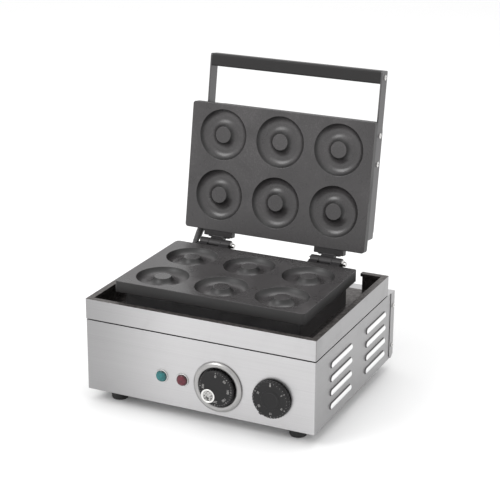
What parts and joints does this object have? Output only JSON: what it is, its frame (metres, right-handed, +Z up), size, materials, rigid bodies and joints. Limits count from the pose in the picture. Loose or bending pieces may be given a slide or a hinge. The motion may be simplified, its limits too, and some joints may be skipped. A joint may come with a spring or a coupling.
{
  "type": "electric donut maker",
  "caption": "Table-top electric donut maker: stainless case with a drip tray, a fixed lower mould plate, and a hinged upper mould plate with cover and handle, shown open.",
  "frame": {"origin": "centre of the bounding box in plan, on the surface the feet stand on, lid open", "axes": "+X to the operator's right, +Y to the rear, +Z up"},
  "size_m": [0.418, 0.4106, 0.5203],
  "materials": {
    "stainless": "brushed",
    "cast_plate": "cast, with a dark non-stick coat",
    "dark_steel": "grey, dulled by heat",
    "chrome": "polished",
    "grip": "satin",
    "black_plastic": "satin",
    "rubber": "matt",
    "lens_green": "gloss",
    "lens_red": "gloss",
    "ceramic": "matt",
    "fibre": "matt, felted",
    "copper": "drawn",
    "castings": "as cast"
  },
  "bodies": {
    "base": {"case_shell": "stainless", "rear_panel": "stainless", "bottom_plate": "stainless", "drip_tray": "stainless", "lower_heater_box": "dark_steel", "lower_mould_plate": "cast_plate", "lower_heating_element": "dark_steel", "lower_clamp_plate": "dark_steel", "lower_insulation": "fibre", "tray_spacers": "chrome", "lower_studs": "chrome", "thermostat_body": "ceramic", "thermostat_bulb": "copper", "thermostat_bezel": "chrome", "timer_body": "dark_steel", "lamp_green_lens": "lens_green", "lamp_red_lens": "lens_red", "lamp_rings": "chrome", "lamp_bodies": "black_plastic", "terminal_block": "ceramic", "control_screws": "chrome", "feet": "rubber", "foot_screws": "chrome", "cable_gland": "black_plastic", "earth_stud": "chrome", "panel_screws": "chrome", "hinge_bracket_left": "castings", "hinge_bracket_right": "castings", "hinge_pin_left": "chrome", "hinge_pin_right": "chrome", "hinge_bracket_bolts": "dark_steel", "conduit_lower": "dark_steel", "conduit_gland": "chrome"},
    "lid": {"upper_mould_plate": "cast_plate", "upper_heating_element": "dark_steel", "upper_clamp_plate": "dark_steel", "upper_insulation": "fibre", "upper_studs": "chrome", "upper_cover": "dark_steel", "handle_arm_left": "dark_steel", "handle_arm_right": "dark_steel", "handle_grip": "grip", "arm_screws": "chrome", "grip_screws": "chrome", "hinge_leaf_left": "castings", "hinge_leaf_right": "castings", "hinge_leaf_bolts": "dark_steel", "conduit_upper": "dark_steel"},
    "thermostat_dial": {"thermostat_knob": "black_plastic", "thermostat_cap": "chrome", "thermostat_spindle": "chrome"},
    "timer_dial": {"timer_knob": "black_plastic", "timer_spindle": "chrome"}
  },
  "joints": [
    {"name": "lid_hinge", "type": "hinge", "parent": "base", "child": "lid", "pos_m": [0, 0.08639, 0.2038], "axis": [1, 0, 0], "range_deg": [0, 99.2]},
    {"name": "thermostat_turn", "type": "hinge", "parent": "base", "child": "thermostat_dial", "pos_m": [0.037, -0.19391, 0.0715], "axis": [0, 1, 0], "range_deg": [0, 300]},
    {"name": "timer_turn", "type": "hinge", "parent": "base", "child": "timer_dial", "pos_m": [0.1325, -0.19391, 0.0715], "axis": [0, 1, 0], "range_deg": [0, 330]}
  ]
}
